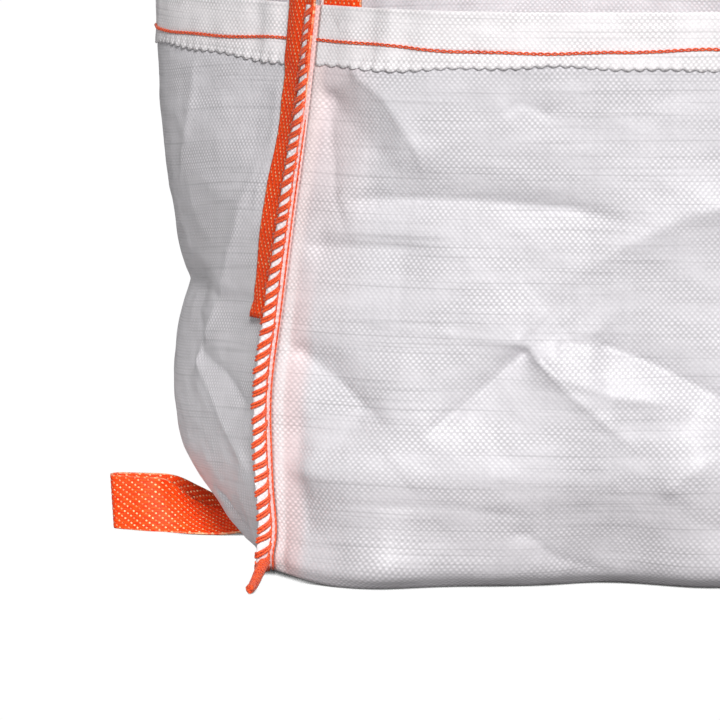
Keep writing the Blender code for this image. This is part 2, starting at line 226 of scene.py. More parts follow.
SIDE_FOLDS = (
    (-13.0, 95, 40, 1.8, 0.1, 0.35, ((-243, 760), (-245, 440), (-247, 265))),
    (-13.0, 40, 95, 1.8, 0.1, 0.35, ((243, 760), (245, 440), (247, 265))),
    (-3.4, 6, 42, 1.05, 0.15, 0.2, ((-264, 242), (-200, 238), (-148, 234))),
    (5.5, 36, 26, 1.0, 0.35, 0.08, ((-238, 388), (-221, 334), (-202, 288), (-180, 243), (-141, 188))),
    (-11.0, 20, 34, 1.2, 0.25, 0.4, ((-178, 240), (-60, 238), (60, 234), (150, 240))),
    (2.8, 8, 8, 0.9, 0.3, 0.3, ((-160, 219), (-58, 215))),
    (-3.4, 14, 6, 0.9, 0.08, 0.2, ((-128, 184), (-192, 170), (-258, 142))),
    (4.2, 22, 26, 0.9, 0.08, 0.2, ((-118, 180), (-172, 143), (-217, 108), (-257, 82))),
    (-6.3, 12, 16, 1.05, 0.2, 0.2, ((-118, 62), (-132, 42), (-160, 24), (-215, 16))),
    (2.1, 9, 9, 1.05, 0.2, 0.3, ((-125, 452), (-113, 388), (-80, 322))),
    (2.1, 9, 9, 1.05, 0.2, 0.3, ((-243, 440), (-242, 362), (-229, 290))),
    (-7.0, 24, 30, 1.05, 0.2, 0.3, ((40, 420), (120, 370), (215, 350))),
    (-6.3, 20, 26, 0.95, 0.1, 0.3, ((110, 180), (160, 150), (240, 132))),
    (5.2, 22, 20, 0.95, 0.1, 0.3, ((110, 180), (60, 120), (70, 60))),
    (-3.0, 40, 30, 1.65, 0.1, 0.1, ((-250, 96), (-100, 104), (60, 96), (250, 104))),
)


def at_height(z):
    """Corner x, corner y and the two bulges at each height, smooth between the levels."""
    heights = LEVELS[:, 0]
    i = np.clip(np.searchsorted(heights, z, side="right") - 1, 0, len(LEVELS) - 2)
    low, high = LEVELS[i], LEVELS[i + 1]
    before = LEVELS[np.maximum(i - 1, 0)]
    after = LEVELS[np.minimum(i + 2, len(LEVELS) - 1)]
    span = high[..., :1] - low[..., :1]
    f = (np.asarray(z)[..., None] - low[..., :1]) / span
    slope_low = (high - before) / (high[..., :1] - before[..., :1]) * span
    slope_high = (after - low) / (after[..., :1] - low[..., :1]) * span
    smooth = ((2 * f**3 - 3 * f**2 + 1) * low + (f**3 - 2 * f**2 + f) * slope_low
              + (3 * f**2 - 2 * f**3) * high + (f**3 - f**2) * slope_high)
    return [smooth[..., k] for k in range(1, 5)]


def bumps(table, x):
    """A sum of smooth bumps."""
    return sum(height * np.exp(-((x - middle) / width) ** 2) for height, middle, width in table)


def lifted(across, z=0.0):
    """The base corners curl up off the floor, over the outer fifth of an edge and 120 mm up."""
    return CORNER_LIFT * np.clip(5 * abs(across) - 4, 0, 1) ** 1.6 * np.clip(1 - z / 0.12, 0, 1) ** 2


def sway(z):
    """The corner seams are not quite straight: how far they wander towards the middle."""
    return bumps(SWAY, z)


def edge_wave(t, z):
    """The bottom edge of front and back is wavy."""
    return bumps(EDGE_WAVES, t) * np.exp(-(z / EDGE_WAVES_REACH) ** 2)


def front_round(t, z):
    """How the bulge of front and back spreads across them: fuller near the floor."""
    return 1 - abs(t) ** (3 + 5 * np.clip(1 - z / 0.06, 0, 1) ** 2)


def plain_front(t, z):
    """The front without its folds, by its share of the way across, from -1 to 1, and height."""
    t, z = np.broadcast_arrays(t, z)
    corner_x, corner_y, _, bulge = at_height(z)
    x = t * corner_x - np.sign(t) * t**6 * sway(z)
    y = -(corner_y + bulge * front_round(t, z) + edge_wave(t, z))
    return np.stack([x, y, z + SKIN + lifted(t, z)], axis=-1)


def plain_side(t, z):
    """The left side panel without its folds, in the same way."""
    t, z = np.broadcast_arrays(t, z)
    corner_x, corner_y, bulge, _ = at_height(z)
    k = SIDE_ROUND
    rounded = (math.hypot(1, k) - np.hypot(t, k)) / (math.hypot(1, k) - k)
    x = -(corner_x + bulge * rounded) + t**6 * sway(z)
    return np.stack([x, t * corner_y, z + SKIN + lifted(t, z)], axis=-1)


def smoothstep(low, high, x):
    """Rises smoothly from 0 at one value to 1 at another."""
    f = np.clip((x - low) / (high - low), 0, 1)
    return f * f * (3 - 2 * f)


def fold_relief(folds, across, up):
    """How far the listed folds push the cloth out, in metres."""
    total = np.zeros(np.shape(across))
    for depth, left, right, crisp, start, end, course in folds:
        course = np.array(course, float)
        steps = np.linalg.norm(np.diff(course, axis=0), axis=1)
        nearest = np.full(total.shape, 1e9)
        signed = np.zeros(total.shape)
        along = np.zeros(total.shape)
        gone = 0.0
        last = len(steps) - 1
        for k, ((x0, y0), (x1, y1), length) in enumerate(zip(course, course[1:], steps)):
            ux, uy = (x1 - x0) / length, (y1 - y0) / length
            beyond = (across - x0) * ux + (up - y0) * uy
            s = np.clip(beyond, 0, length)
            beside = (up - y0) * ux - (across - x0) * uy
            past_end = ((k == 0) & (beyond < 0)) | ((k == last) & (beyond > length))
            far = np.hypot(beside, (beyond - s) * np.where(past_end, 3, 1))
            closer = far < nearest
            nearest = np.where(closer, far, nearest)
            signed = np.where(closer, beside, signed)
            along = np.where(closer, gone + np.where(past_end, beyond, s), along)
            gone += length
        place = along / gone
        taper = smoothstep(0, max(start, 0.05), place) * smoothstep(0, max(end, 0.05), 1 - place)
        flank = np.where(signed > 0, left, right)
        # A fold opens like a fan from each of its ends
        opening = np.clip(0.06 + np.minimum(along, gone - along) / (1.6 * flank), 0.06, 1)
        total += depth * taper * np.exp(-(nearest / (flank * opening)) ** crisp)
    return total * 0.001


def crumple(across, up, seed):
    """Slight all-over undulation of stiff cloth: long level waves and smaller flat facets."""
    values = np.empty(np.size(across))
    for k, (x, y) in enumerate(zip(np.ravel(across), np.ravel(up))):
        wave = noise.noise(Vector((x / 150, y / 48, seed)))
        facet = 1 - abs(noise.noise(Vector((x / 62 + 7, y / 40, seed + 3)))) * 2
        small = noise.noise(Vector((x / 24, y / 17, seed + 9)))
        values[k] = 1.2 * wave + 0.9 * facet + 0.45 * small
    return values.reshape(np.shape(across)) * 0.001


def pucker(across, up):
    """The stitched hem draws the cloth into short upright waves."""
    waves = np.sin(across / 9.5 + 2 * np.sin(across / 37)) + 0.6 * np.sin(across / 5.3 + 1)
    return 0.0008 * waves * smoothstep(430, 470, up) * (0.55 + 0.45 * np.sin(across / 53))


def unit(vectors):
    """The same directions, 1 long."""
    return vectors / np.linalg.norm(vectors, axis=-1, keepdims=True)


def outward(plain, t, z):
    """Unit normals of a wall without its folds."""
    step = 0.004
    along = plain(np.minimum(t + step, 1), z) - plain(np.maximum(t - step, -1), z)
    rise = plain(t, np.minimum(z + step, HEIGHT)) - plain(t, np.maximum(z - step, 0.0))
    normal = unit(np.cross(along, rise))
    centre_way = np.sum(normal[..., :2] * plain(t, z)[..., :2], axis=-1, keepdims=True)
    return np.where(centre_way > 0, normal, -normal)


def wall_relief(folds, seed, t, z):
    """Folds and crumples, which fade out towards the seams, and the puckers under the hem."""
    across, up = t * HALF_MM, z * 1000
    seam_free = smoothstep(1.0, 0.93, abs(t)) * smoothstep(0, 12, up)
    near_seam = 0.35 + 0.65 * smoothstep(1.0, 0.80, abs(t))
    rough = fold_relief(folds, across, up) + crumple(across, up, seed) * near_seam
    return rough * seam_free + pucker(across, up) * smoothstep(1.0, 0.95, abs(t))


# A wall's plain shape, its folds, a seed, and the signs that mirror it to its side of the bag
Wall = namedtuple("Wall", "plain folds seed sign_x sign_y")


def wall_point(wall, t, z, off=0.0):
    """Points of a creased wall, and of what lies off it by a distance."""
    t, z = np.broadcast_arrays(np.asarray(t, float), np.asarray(z, float))
    height = wall_relief(wall.folds, wall.seed, t, z) + off
    points = wall.plain(t, z) + outward(wall.plain, t, z) * height[..., None]
    return points * (wall.sign_x, wall.sign_y, 1)


def grid_piece(name, patches, thickness, material):
    """A sheet made of grids laid over given points. Each patch is its points and its cloth
    coordinates, both as rows and columns; extra numbers per point become attributes."""
    bm = bmesh.new()
    placed, cloth, extra = [], [], {}
    for points, coordinates, numbers in patches:
        rows, columns = points.shape[:2]
        made = bmesh.ops.create_grid(bm, x_segments=columns - 1, y_segments=rows - 1, size=1)
        places = np.array([vert.co[:2] for vert in made["verts"]])
        column = np.rint((places[:, 0] + 1) / 2 * (columns - 1)).astype(int)
        row = np.rint((places[:, 1] + 1) / 2 * (rows - 1)).astype(int)
        placed.append(points[row, column])
        cloth.append(coordinates[row, column])
        for key, values in numbers.items():
            extra.setdefault(key, []).append(values[row, column])
    mesh = bpy.data.meshes.new(name)
    bm.to_mesh(mesh)
    bm.free()
    mesh.vertices.foreach_set("co", np.concatenate(placed).ravel())
    corners = np.empty(len(mesh.loops), int)
    mesh.loops.foreach_get("vertex_index", corners)
    weave = mesh.uv_layers.new(name="weave")
    weave.data.foreach_set("uv", np.concatenate(cloth)[corners].ravel())
    for key, values in extra.items():
        mesh.attributes.new(key, "FLOAT", "POINT").data.foreach_set("value", np.concatenate(values))
    mesh.shade_smooth()
    mesh.update()
    mesh.materials.append(material)
    obj = new_object(name, mesh)
    solidify = obj.modifiers.new("thickness", "SOLIDIFY")
    solidify.thickness = thickness
    solidify.offset = 0
    return obj


def path_lengths(points, axis):
    """Length gone along rows or columns of points."""
    steps = np.linalg.norm(np.diff(points, axis=axis), axis=-1)
    gone = np.cumsum(steps, axis=axis)
    return np.concatenate([np.zeros_like(np.take(gone, [0], axis=axis)), gone], axis=axis)


def cloth_coordinates(points, width):
    """Metres of cloth across and along, with the same number of tapes in every row."""
    across = path_lengths(points, 1)
    across = across / across[:, -1:] * width
    along = path_lengths(points, 0)
    return np.stack([across, along], axis=-1)


FRONT = Wall(plain_front, FRONT_FOLDS, 1.3, 1, 1)
BACK = Wall(plain_front, BACK_FOLDS, 5.1, 1, -1)

# Woven polypropylene tape, white and slightly glossy, in a plain weave: at every second crossing
# the level tape lies on top; its top is painted lighter, a painted highlight, and the gaps darker, a
# painted shade. Single tapes are a little duller or brighter, and orange is painted near the seams, partly
# webbing showing through the cloth and partly painted orange reflection.
cloth_material, tree, shader = new_material(
    "white_woven_polypropylene", Roughness=0.45, IOR=1.49, Sheen_Weight=0.05)
uv = add_node(tree, "UVMap", uv_map="weave")
stray = add_node(tree, "TexNoise", {"Vector": uv, "Scale": 55.0, "Detail": 2.0},
                 noise_dimensions="2D").outputs["Color"]
strayed = add_node(tree, "VectorMath", {0: stray, 1: (0.0013, 0.0013, 0), 2: uv}, operation="MULTIPLY_ADD")
tapes = add_node(tree, "VectorMath", {
    0: strayed, 1: (math.pi / TAPE_ACROSS, math.pi / TAPE_UP, 1)}, operation="MULTIPLY")
crossings = add_node(tree, "VectorMath", {0: tapes}, operation="SINE")
split = add_node(tree, "SeparateXYZ", {0: crossings})
signed = add_node(tree, "Math", {0: split.outputs["X"], 1: split.outputs["Y"]}, operation="MULTIPLY")
level_tape = add_node(tree, "Math", {0: split.outputs["Y"]}, operation="ABSOLUTE")
pillow = add_node(tree, "Math", {0: level_tape, 1: 0.5, 2: signed}, operation="MULTIPLY_ADD")
# The tops of the crossings are painted lighter, a painted highlight, and the gaps between tapes darker, a
# painted shade.
painted_glints_and_gap_shade = add_node(tree, "MapRange", {"Value": pillow, "From Min": -0.2, "From Max": 1.4,
                                   "To Min": -0.21, "To Max": 0.21})


def streaks(scale, low, high, noise_low, noise_high):
    """Noise drawn out along the tapes, as a factor for the colour."""
    drawn = add_node(tree, "VectorMath", {0: uv, 1: scale}, operation="MULTIPLY")
    grain = add_node(tree, "TexNoise", {"Vector": drawn, "Scale": 1.0, "Detail": 2.0},
                     noise_dimensions="2D")
    return add_node(tree, "MapRange", {
        "Value": grain, "From Min": noise_low, "From Max": noise_high,
        "To Min": low, "To Max": high})


patchy = streaks((16, 34, 1), 0.30, 1.05, 0.36, 0.62)
shade = add_node(tree, "Math", {0: painted_glints_and_gap_shade, 1: patchy, 2: 0.985}, operation="MULTIPLY_ADD")
for factor in (streaks((7, 120, 1), 0.965, 1.02, 0.25, 0.75), streaks((160, 5, 1), 0.97, 1.01, 0.25, 0.75),
               streaks((5, 370, 1), 0.86, 1.0, 0.28, 0.42), streaks((24, 30, 1), 0.97, 1.02, 0.25, 0.75)):
    shade = add_node(tree, "Math", {0: shade, 1: factor}, operation="MULTIPLY")
colour = linear("DDDADE")
# The grey mark darkens the cloth near the floor: a painted shade.
# The orange mark is partly webbing showing through the cloth and partly painted orange reflection.
for mark, code in (("double_cloth", "F5F1F3"), ("painted_shade_near_floor", "B1ABAE"), ("orange_show_through_and_painted_bounce", "F59F93")):
    amount = add_node(tree, "Attribute", attribute_name=mark).outputs["Fac"]
    colour = add_node(tree, "Mix", {0: amount, 6: colour, 7: linear(code)}, data_type="RGBA").outputs[2]
toned = add_node(tree, "VectorMath", {0: colour, "Scale": shade}, operation="SCALE")
tree.links.new(toned.outputs[0], shader.inputs["Base Color"])
crinkle = add_node(tree, "TexNoise", {"Vector": uv, "Scale": 60.0, "Detail": 3.0}, noise_dimensions="2D")
soft_bump = add_node(tree, "Bump", {"Strength": 0.45, "Distance": 0.0012, "Height": crinkle})
weave_bump = add_node(tree, "Bump", {"Strength": 0.5, "Distance": 0.00025, "Height": pillow,
                                     "Normal": soft_bump})
tree.links.new(weave_bump.outputs[0], shader.inputs["Normal"])


def two_rates(start, change, end, before, after):
    """Numbers spaced at one rate before a change and at another after it."""
    return np.concatenate([np.linspace(start, change, before)[:-1], np.linspace(change, end, after)])


def base_point(a, b):
    """The base, by its shares of the way across and from front to back, each from -1 to 1."""
    corner_x, corner_y, _, front_bulge = at_height(np.zeros(np.shape(a)))
    x = a * (corner_x - TUCKED_UNDER * (1 - b * b) * a * a) - np.sign(a) * a**6 * b**6 * sway(0.0)
    y = b * (corner_y + front_bulge * front_round(a, 0.0) * b * b) + np.sign(b) * b**6 * edge_wave(a, 0.0)
    return np.stack([x, y, SKIN + lifted(a * b)], axis=-1)


t_columns = two_rates(-1, 0.22, 1, 140, 40)
z_front = two_rates(0, 0.020, HEIGHT, 8, 158)
z_back = two_rates(0, 0.020, HEIGHT, 6, 42)
front_points = wall_point(FRONT, t_columns[None, :], z_front[::-1, None])
a_grid, b_grid = np.meshgrid(t_columns, np.linspace(-1, 1, 22)[1:-1])
base_points = base_point(a_grid, b_grid)
back_points = wall_point(BACK, t_columns[None, :], z_back[:, None])
u_points = np.concatenate([front_points, base_points, back_points])
smooth_back = plain_front(t_columns[None, :], z_back[:, None]) * (1, -1, 1)
u_cloth = cloth_coordinates(np.concatenate([
    plain_front(t_columns[None, :], z_front[::-1, None]), base_points, smooth_back]), CLOTH_WIDTH)
# Measured from the top, so that the back's tapes are level under its hem
below_top = path_lengths(smooth_back[::-1], 0)[::-1]
u_cloth[-len(z_back):, :, 1] = u_cloth[-1, :, 1].mean() - below_top

ROUND_CORNER = 1.12     # the cloth is this much longer beside a corner than its share across says


def from_seam(t):
    """Millimetres of cloth between the nearer corner seam and a point of the front or back."""
    return (1 - abs(t)) * HALF_MM * ROUND_CORNER


def orange_show_through_and_bounce(t, z):
    """Orange painted on the front or the back by the seams. Where the leg of a lift loop lies inside, it
    shows through, with painted orange reflection added; lower down and close along the seam it is painted
    reflection of the seam's thread."""
    near, up = from_seam(t), z * 1000
    leg = (0.07 + 0.08 * smoothstep(280, 400, up)) * smoothstep(92, 8, near) * smoothstep(190, 270, up)
    thread = 0.20 * smoothstep(34, 20, near) * smoothstep(9, 13, near) * smoothstep(300, 200, up)
    return leg + thread + 0.07 * smoothstep(20, 8, near)


def layered(t):
    """Beside the seam its margins lie behind the cloth, which makes it whiter."""
    return smoothstep(12.5, 11.0, from_seam(t))


def marks(shape, orange_tint=0.0, double=0.0, painted_shade_near_floor=0.0):
    """For each point, how much orange is painted near the seams, partly webbing showing through and partly
    painted orange reflection, how far cloth lies double, and how much painted shade darkens it near the
    floor.
    """
    values = {"orange_show_through_and_painted_bounce": orange_tint, "double_cloth": double, "painted_shade_near_floor": painted_shade_near_floor}
    return {key: np.broadcast_to(value, shape) for key, value in values.items()}


base_z = np.zeros(len(a_grid))
u_z = np.concatenate([z_front[::-1], base_z, z_back])[:, None]
on_wall = np.concatenate([np.ones(len(z_front)), base_z, np.ones(len(z_back))])[:, None]
# Darker towards the floor: painted shade where the cloth nears the floor, left off the double strip by the
# seams.
painted_floor_shade = 0.26 * smoothstep(0.112, 0.080, u_z) * (1 - layered(t_columns))
u_patch = (u_points, u_cloth, marks(u_points.shape[:2], orange_show_through_and_bounce(t_columns, u_z) * on_wall,
                                    layered(t_columns) * on_wall, painted_floor_shade))

# The margins of the corner and base seams stand outside as a fin. Its lean to the back is in
# degrees at each height, and along the base it leans up to BASE_LEAN towards the ends.
FIN = 0.0165
FIN_LEAN = ((0.0, -16), (0.09, -14), (0.16, -8), (0.225, 8), (0.34, 31), (0.43, 45), (0.5, 47))
BASE_LEAN = 16
FIN_BEND = 0.24
BASE_DEPTH = 0.57
OVER_FLOOR = 0.0026     # lifts the base seam's thread off the floor
PLY = 0.00055           # from the middle of the fin to the middle of each cloth in it


def seam_course(spacing=0.003):
    """The left-hand seam, from the front's top edge down, under the side and up the back: its
    roots, the way it runs, how far its fin leans to the back, how the fin bends, and the length
    gone. Low down the fins stand out; higher up the lift loops draw them flat to the sides."""
    z = np.linspace(HEIGHT, 0, round(HEIGHT / spacing))
    b = np.linspace(-1, 1, round(BASE_DEPTH / spacing))[1:-1]
    down = plain_side(np.full(z.shape, -1.0), z)
    under = base_point(np.full(b.shape, -1.0), b)
    roots = np.concatenate([down, under, (down * (1, -1, 1))[::-1]])
    heights, degrees = np.array(FIN_LEAN).T
    lean = np.radians(np.interp(z, heights, degrees))
    lean = np.concatenate([lean, math.radians(BASE_LEAN) * np.sign(b) * b**4, -lean[::-1]])
    bend = FIN_BEND * np.concatenate([np.ones(z.shape), -b**3, -np.ones(z.shape)])
    steps = np.gradient(roots, axis=0)
    for _ in range(3):
        steps[1:-1] = (steps[:-2] + steps[1:-1] + steps[2:]) / 3
    heights = np.concatenate([z, np.zeros(b.shape), z[::-1]])
    roots[:, 2] += OVER_FLOOR * np.clip(1 - heights / 0.1, 0, 1)
    return roots, steps, lean, bend, path_lengths(roots, 0)


ROOTS, STEPS, LEAN, BEND, SEAM_GONE = seam_course()
FIN_WIDTHS = np.array((0.0, 0.0015, 0.004, 0.0075, 0.011, 0.014, FIN))


def fin_way(angle):
    """The way in which the left-hand fin stands out."""
    return np.stack([-np.cos(angle), np.sin(angle), np.zeros(np.shape(angle))], axis=-1)


def on_seam(gone, width, away):
    """Points of the left-hand fin by length gone, distance from the root and distance off its
    middle, which is towards the front or the base where it is positive."""
    gone, width, away = np.broadcast_arrays(gone, width, away)
    root, step = (np.stack([np.interp(gone, SEAM_GONE, source[:, k]) for k in range(3)], axis=-1)
                  for source in (ROOTS, STEPS))
    lean, bend = np.interp(gone, SEAM_GONE, LEAN), np.interp(gone, SEAM_GONE, BEND)
    ply = unit(np.cross(fin_way(lean - bend * (1 - 2 * width / FIN)), step))
    return root + fin_way(lean - bend * (1 - width / FIN)) * width[..., None] + ply * away[..., None]


def fin_patch(sign_x, side_of_fin):
    """One of the two cloths in a seam's fin, a little wavy and frayed along its cut edge."""
    gone = SEAM_GONE[:, None]
    ragged = 0.0006 * np.sin(gone / 0.0041) * np.sin(gone / 0.0107) * (FIN_WIDTHS > 0.014)
    wave = 0.0007 * np.sin(gone / 0.021 + 1) * (FIN_WIDTHS / FIN) ** 2
    apart = PLY * side_of_fin * smoothstep(0, 0.0015, FIN_WIDTHS)
    points = on_seam(gone, FIN_WIDTHS + ragged, wave + apart) * (sign_x, 1, 1)
    cloth = np.stack(np.broadcast_arrays(-FIN_WIDTHS, gone), axis=-1)
    # On the fin beside its stitched root, orange is painted strongly: painted reflection of the orange
    # thread.
    orange_tint = np.where(FIN_WIDTHS > 0.005, 0.06, 0.55)
    return points, cloth, marks(points.shape[:2], orange_tint, double=1.0)


u_cloth_piece = grid_piece("front_base_back_cloth", [u_patch, fin_patch(1, 1), fin_patch(-1, 1)],
                           CLOTH, cloth_material)
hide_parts("u_panel")
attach(u_cloth_piece, "root")


# Side panels
# Two squares of the same cloth, sewn to the long piece on three edges. They run straight from
# their seams and turn in the middle, so they stand out further than front and back.

SIDE_COLUMNS = 171
STRAP_HUMP = 0.0068     # the panel's foot passes over the tip strap
RIGHT_FOLDS = tuple((depth, right, left, crisp, start, end, tuple((-x, y) for x, y in course))
                    for depth, left, right, crisp, start, end, course in SIDE_FOLDS)
LEFT = Wall(plain_side, SIDE_FOLDS, 8.7, 1, 1)
RIGHT = Wall(plain_side, RIGHT_FOLDS, 12.4, -1, 1)
t_side = np.linspace(-1, 1, SIDE_COLUMNS)
z_side = two_rates(0, 0.030, HEIGHT, 12, 138)
for side_name, wall in (("left", LEFT), ("right", RIGHT)):
    points = wall_point(wall, t_side[None, :], z_side[:, None])
    sewn = base_point(np.full(t_side.shape, -1.0), t_side) * (wall.sign_x, 1, 1)
    meet = smoothstep(0.010, 0, z_side)[:, None, None]
    points = points + (sewn - points[0])[None] * meet
    over_strap = smoothstep(0.036, 0.026, abs(points[..., 1])) * smoothstep(0.022, 0.004, points[..., 2])
    points[..., 2] += STRAP_HUMP * over_strap
    smooth = plain_side(t_side[None, :], z_side[:, None])
    patch = (points, cloth_coordinates(smooth, CLOTH_WIDTH), marks(points.shape[:2]))
    fin = fin_patch(wall.sign_x, -1)
    piece = grid_piece(f"side_cloth_{side_name}", [patch, fin], CLOTH, cloth_material)
    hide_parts(f"side_panel_{side_name}")
    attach(piece, "root")


# Hems
# The top edges are folded 48 mm to the outside. The raw edge was cut with a hot pinking blade,
# so it is scalloped, and it stands a little proud of the wall between its stitches.

HEM = 0.048
HEM_OFF = 0.0013        # middle of the hem's cloth from the middle of the wall's
SCALLOP = 0.012         # width of one scallop
SCALLOP_DEPTH = 0.0018
for hem_name, wall, reach in (("front", FRONT, 0.992), ("back", BACK, 0.992),
                              ("left", LEFT, 0.985), ("right", RIGHT, 0.985)):
    t = np.linspace(-reach, reach, 401)
    cloth_across = t * CLOTH_WIDTH / 2
    drops = np.concatenate([np.zeros(4), np.linspace(0.001, HEM, 17)])
    turn = np.concatenate([np.linspace(0, np.pi, 5)[:4], np.full(17, np.pi)])
    scallop = SCALLOP_DEPTH * (abs(np.sin(np.pi * cloth_across / SCALLOP)) - 0.7)
    wander = 0.0016 * np.sin(cloth_across / 0.043) + 0.0009 * np.sin(cloth_across / 0.017 + 2)
    wander = wander + 0.0048 * smoothstep(0.45, 1.0, abs(t))
    drop = drops[:, None] * (1 + (scallop + wander)[None, :] / HEM)
    tip = abs(np.sin(np.pi * cloth_across / SCALLOP)) * (1 + 0.5 * np.sin(cloth_across / 0.021))
    proud = smoothstep(0.034, HEM, drops)[:, None] * (0.0008 * tip - 0.0001) * smoothstep(1, 0.86, abs(t))
    off = HEM_OFF / 2 * (1 - np.cos(turn))[:, None] + proud
    points = wall_point(wall, np.broadcast_to(t, drop.shape), HEIGHT - drop, off)
    points[..., 2] += HEM_OFF / 2 * np.sin(turn)[:, None]
    cloth = cloth_coordinates(points, CLOTH_WIDTH * reach)
    # A faint painted orange reflection of the loop's leg on the front and back hems beside the seam.
    leg_bounce_tint = 0.02 * smoothstep(92, 8, (1 - abs(t)) * 330) * (hem_name in ("front", "back"))
    patch = (points, cloth, marks(drop.shape, leg_bounce_tint, double=1.0))
    piece = grid_piece(f"hem_{hem_name}", [patch], CLOTH, cloth_material)
    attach(piece, "root")


# Hem stitching
# A two-thread chain stitch in orange polypropylene yarn. On the outside it lies as a braid
# about 3 mm wide, 6 mm to the stitch.

STITCH = 0.006
STITCH_DROP = 0.0342    # of the stitching below the top edge, at the middle of a wall
YARN = 0.00062          # radius of the yarn
BRAID_SWING = 0.0010
BRAID_LIFT = 0.0009

# Spun polypropylene yarn, dyed orange, a little shiny: its fibres show as darker and lighter specks.
thread_material, tree, shader = new_material(
    "orange_polypropylene_yarn", Roughness=0.5, IOR=1.49, Sheen_Weight=0.15)
coordinates = add_node(tree, "TexCoord").outputs["Object"]
fibres = add_node(tree, "TexNoise", {"Vector": coordinates, "Scale": 900.0, "Detail": 2.0})
hue = add_node(tree, "ValToRGB", {"Fac": fibres})
for stop, position, code in zip(hue.color_ramp.elements, (0.35, 0.62), ("C22405", "FF6A2C")):
    stop.position = position
    stop.color = linear(code)
tree.links.new(hue.outputs[0], shader.inputs["Base Color"])
fibre_bump = add_node(tree, "Bump", {"Strength": 0.4, "Distance": 0.0003, "Height": fibres})
tree.links.new(fibre_bump.outputs[0], shader.inputs["Normal"])


def yarn(name, courses, radius, fineness=1):
    """Round yarn swept along each course and made a mesh."""
    curve = bpy.data.curves.new(name, "CURVE")
    curve.dimensions = "3D"
    curve.bevel_depth = radius
    curve.bevel_resolution = fineness
    curve.use_fill_caps = True
    for course in courses:
        spline = curve.splines.new("POLY")
        spline.points.add(len(course) - 1)
        spline.points.foreach_set("co", np.hstack([course, np.ones((len(course), 1))]).ravel())
    swept = new_object(name, curve)
    ready = swept.evaluated_get(bpy.context.evaluated_depsgraph_get())
    mesh = bpy.data.meshes.new_from_object(ready)
    bpy.data.objects.remove(swept)
    bpy.data.curves.remove(curve)
    mesh.name = name
    mesh.shade_smooth()
    mesh.materials.clear()
    mesh.materials.append(thread_material)
    piece = new_object(name, mesh)
    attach(piece, "root")
    return piece


def braid(course, across, face, gone):
    """Two strands that cross over each other along a course."""
    strands = []
    for phase in (0, np.pi):
        swing = np.sin(np.pi * gone / STITCH + phase)[:, None]
        over = np.cos(2 * np.pi * gone / STITCH + 2 * phase)[:, None]
        strands.append(course + across * swing * BRAID_SWING + face * (BRAID_LIFT + 0.0004 * over))
    return strands


def smoothed(values):
    """A running mean of seven values."""
    return np.convolve(np.pad(values, 3, mode="edge"), np.full(7, 1 / 7), "valid")


for stitch_name, wall, reach in (("front", FRONT, 0.996), ("back", BACK, 0.996),
                                 ("left", LEFT, 0.965), ("right", RIGHT, 0.965)):
    t = np.linspace(-reach, reach, 600)
    along = t * CLOTH_WIDTH / 2
    drop = STITCH_DROP - 0.0048 * smoothstep(0.40, 0.97, abs(t)) + 0.0005 * np.sin(along / 0.016)
    drop = drop - 0.0030 * smoothstep(-0.20, 0.30, t) * smoothstep(1.0, 0.6, t)
    course = wall_point(wall, t, HEIGHT - drop, HEM_OFF + CLOTH / 2)
    course = np.stack([smoothed(course[:, k]) for k in range(3)], axis=-1)
    above = wall_point(wall, t, HEIGHT - drop + 0.004, HEM_OFF + CLOTH / 2)
    across = unit(above - course)
    face = unit(np.cross(np.gradient(course, axis=0), across))
    face *= np.sign(np.sum(face * course * (1, 1, 0), axis=1, keepdims=True))
    strands = braid(course, across, face, path_lengths(course, 0))
    yarn(f"hem_stitching_{stitch_name}", strands, YARN)


# Corner and base seams
# The margins stand outside as a fin about 17 mm wide. A chain stitch runs beside the root, and a
# thick double yarn is oversewn round the cut edges every 10.7 mm.

OVERLOCK = 0.0107
OVERLOCK_SLANT = 0.0062
OVERLOCK_YARN = 0.00128
PAIR_APART = 0.0029
CHAIN_YARN = 0.00055
NEEDLE_LINE = 0.0060
CHAIN_LINE = 0.0020
# One turn of the oversewing, from the needle line round the edge and back: how far it has gone
# along the seam in slants, how far it is from the root, and how far it is off the fin's middle
TURN_DESCENT = np.array([-0.45, -0.30, 0.0, 0.35, 0.75, 1.0, 1.0, 0.75, 0.3, -0.3])
TURN_WIDTH = np.array([NEEDLE_LINE, NEEDLE_LINE + 0.0002, NEEDLE_LINE + 0.0016, 0.0105, 0.0150,
                       FIN + 0.0008, FIN + 0.0008, 0.0150, 0.0100, NEEDLE_LINE])
TURN_AWAY = np.array([6, 17, 20, 21, 20, 12, -12, -20, -20, -6]) * 0.0001

